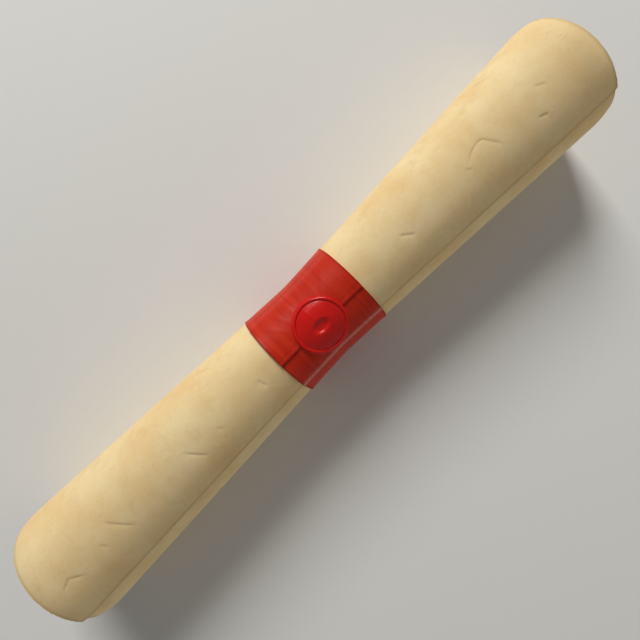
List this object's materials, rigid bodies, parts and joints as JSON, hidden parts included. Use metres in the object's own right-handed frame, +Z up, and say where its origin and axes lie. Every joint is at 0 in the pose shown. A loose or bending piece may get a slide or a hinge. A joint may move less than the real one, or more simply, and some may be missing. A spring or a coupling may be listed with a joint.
{
  "type": "paper scroll",
  "caption": "Rolled sheet of heavy paper, drawn in at its waist by a satin ribbon and closed with a round wax seal.",
  "frame": {"origin": "middle of the underside, on the surface that the scroll lies on", "axes": "+X along the roll, +Z up, -Y towards the free edge of the sheet and the side that the seal leans to"},
  "size_m": [0.297, 0.0516, 0.0519],
  "materials": {
    "paper": "matt, aged",
    "ribbon": "satin",
    "wax": "semi-gloss"
  },
  "bodies": {
    "root": {"paper_roll": "paper", "ribbon": "ribbon", "wax_seal": "wax"}
  },
  "joints": []
}
